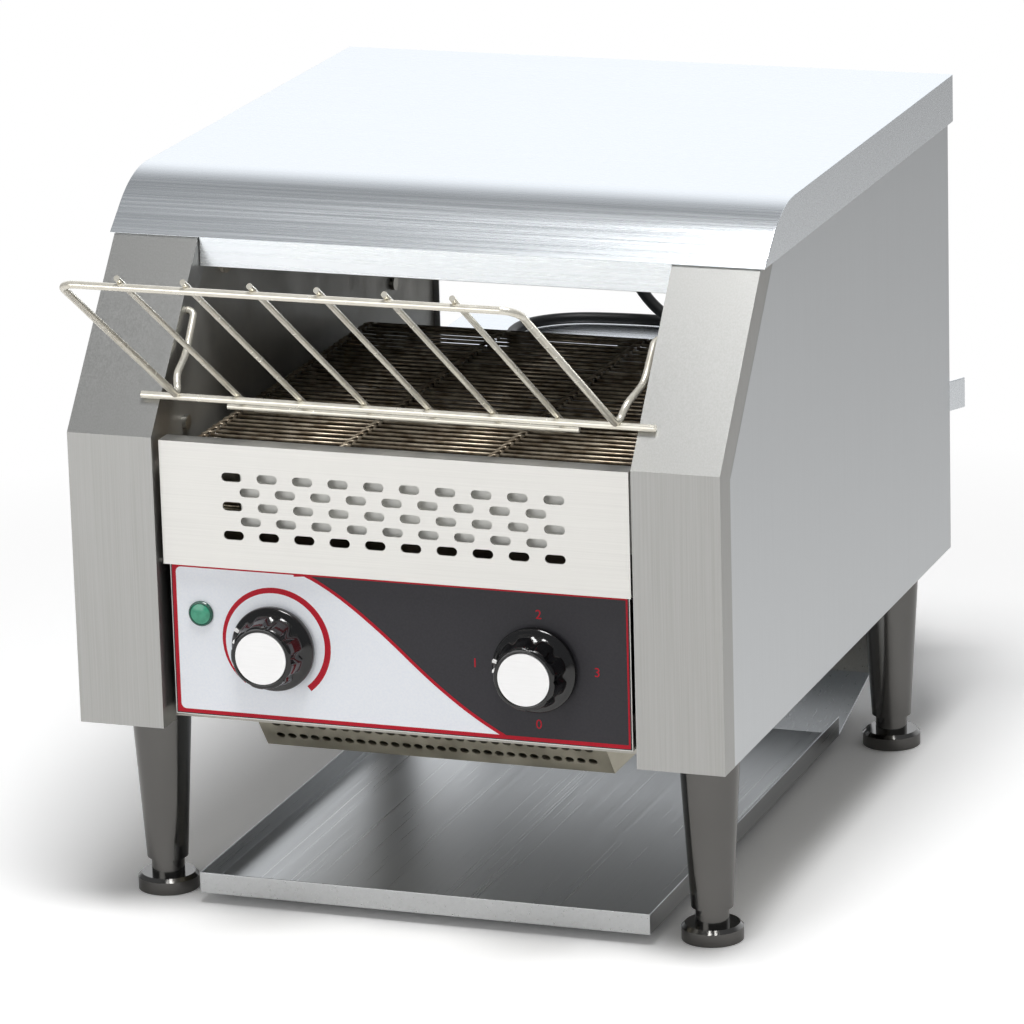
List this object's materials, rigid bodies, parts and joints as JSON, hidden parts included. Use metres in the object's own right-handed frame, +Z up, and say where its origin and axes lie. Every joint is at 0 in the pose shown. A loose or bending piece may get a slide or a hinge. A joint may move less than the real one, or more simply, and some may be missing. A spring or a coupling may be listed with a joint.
{
  "type": "conveyor toaster",
  "caption": "Countertop conveyor toaster with a wire feed rack, a wire belt between heating tubes, two front knobs, a vent panel, a slide-out toast tray and screw-adjusted legs.",
  "frame": {"origin": "on the surface under the feet, in the middle of the machine's width and of its whole length from the feed rack's tips to the rear shelf's edge", "axes": "+X to the right as seen from the front, +Y to the rear where the shelf is, +Z up"},
  "size_m": [0.379, 0.752, 0.3984],
  "materials": {
    "brushed_case": "brushed",
    "light_panel": "satin",
    "galvanised_sheet": "satin",
    "inner_sheet": "satin",
    "printed_label": "satin",
    "tray_sheet": "brushed",
    "heater_sheath": "matte",
    "ceramic": "matte",
    "shaft_steel": "turned",
    "bush_brass": "satin",
    "belt_wire": "drawn wire",
    "motor_paint": "satin",
    "black_plastic": "moulded",
    "knob_face": "spun",
    "lamp_green": "gloss",
    "rack_chrome": "polished",
    "leg_metal": "dark polished",
    "screw_steel": "plated",
    "cord_rubber": "matte"
  },
  "bodies": {
    "casing": {"base_pan": "galvanised_sheet", "control_label": "printed_label", "control_panel": "light_panel", "conveyor_belt": "belt_wire", "cord_coil": "cord_rubber", "cord_gland": "cord_rubber", "drive_chain": "shaft_steel", "fan_frame": "black_plastic", "fan_guard": "galvanised_sheet", "front_post_left": "brushed_case", "front_post_right": "brushed_case", "gear_motor": "motor_paint", "heat_shield": "galvanised_sheet", "heater_bushings": "ceramic", "indicator_lamp": "lamp_green", "inner_wall_left": "inner_sheet", "inner_wall_right": "inner_sheet", "leg_front_left": "leg_metal", "leg_front_right": "leg_metal", "leg_nuts": "screw_steel", "leg_rear_left": "leg_metal", "leg_rear_right": "leg_metal", "lower_heaters": "heater_sheath", "lower_reflector": "galvanised_sheet", "machine_screws": "screw_steel", "plug": "cord_rubber", "power_cord": "cord_rubber", "rear_panel": "brushed_case", "rear_shelf": "brushed_case", "selector_switch": "black_plastic", "shaft_bushes": "bush_brass", "side_panel_left": "brushed_case", "side_panel_right": "brushed_case", "speed_controller": "black_plastic", "terminal_block": "black_plastic", "top_hood": "brushed_case", "upper_front_rail": "brushed_case", "upper_heaters": "heater_sheath", "upper_reflector": "galvanised_sheet", "vent_baffle": "galvanised_sheet", "vent_panel": "light_panel"},
    "drive": {"drive_shaft": "shaft_steel", "drive_sprockets": "shaft_steel", "driven_sprocket": "shaft_steel"},
    "idler": {"idler_shaft": "shaft_steel", "idler_sprockets": "shaft_steel"},
    "motor_wheel": {"motor_sprocket": "shaft_steel"},
    "fan": {"fan_rotor": "black_plastic"},
    "colour_control": {"colour_spindle": "shaft_steel", "colour_knob": "black_plastic", "colour_knob_cap": "knob_face"},
    "selector_control": {"selector_spindle": "shaft_steel", "selector_knob": "black_plastic", "selector_knob_cap": "knob_face"},
    "rack": {"feed_rack": "rack_chrome"},
    "tray": {"toast_tray": "tray_sheet"},
    "levelling_front_left": {"foot_front_left": "leg_metal"},
    "levelling_front_right": {"foot_front_right": "leg_metal"},
    "levelling_rear_left": {"foot_rear_left": "leg_metal"},
    "levelling_rear_right": {"foot_rear_right": "leg_metal"}
  },
  "joints": [
    {"name": "belt_drive_turn", "type": "hinge", "parent": "casing", "child": "drive", "pos_m": [0, 0.10414, 0.242], "axis": [1, 0, 0], "continuous": true},
    {"name": "belt_idler_turn", "type": "hinge", "parent": "casing", "child": "idler", "pos_m": [0, -0.15186, 0.242], "axis": [1, 0, 0], "continuous": true},
    {"name": "motor_turn", "type": "hinge", "parent": "casing", "child": "motor_wheel", "pos_m": [0.168, 0.04414, 0.18], "axis": [1, 0, 0], "continuous": true},
    {"name": "fan_turn", "type": "hinge", "parent": "casing", "child": "fan", "pos_m": [0, -0.09086, 0.124], "axis": [0, 0, 1], "continuous": true},
    {"name": "colour_knob_turn", "type": "hinge", "parent": "casing", "child": "colour_control", "pos_m": [-0.0715, -0.20586, 0.1587], "axis": [0, 1, 0], "range_deg": [-60, 240]},
    {"name": "selector_knob_turn", "type": "hinge", "parent": "casing", "child": "selector_control", "pos_m": [0.0775, -0.20586, 0.1587], "axis": [0, 1, 0], "range_deg": [-90, 180]},
    {"name": "rack_lift", "type": "hinge", "parent": "casing", "child": "rack", "pos_m": [0, -0.13841, 0.32982], "axis": [-1, 0, 0], "range_deg": [0, 35]},
    {"name": "tray_pull", "type": "slide", "parent": "casing", "child": "tray", "axis": [0, -1, 0], "range_m": [0, 0.25]},
    {"name": "foot_screw_front_left", "type": "slide", "parent": "casing", "child": "levelling_front_left", "axis": [0, 0, -1], "range_m": [0, 0.012]},
    {"name": "foot_screw_front_right", "type": "slide", "parent": "casing", "child": "levelling_front_right", "axis": [0, 0, -1], "range_m": [0, 0.012]},
    {"name": "foot_screw_rear_left", "type": "slide", "parent": "casing", "child": "levelling_rear_left", "axis": [0, 0, -1], "range_m": [0, 0.012]},
    {"name": "foot_screw_rear_right", "type": "slide", "parent": "casing", "child": "levelling_rear_right", "axis": [0, 0, -1], "range_m": [0, 0.012]}
  ],
  "couplings": [
    {"joint": "belt_idler_turn", "follows": "belt_drive_turn", "ratio": 1},
    {"joint": "motor_turn", "follows": "belt_drive_turn", "ratio": 1.5714}
  ]
}
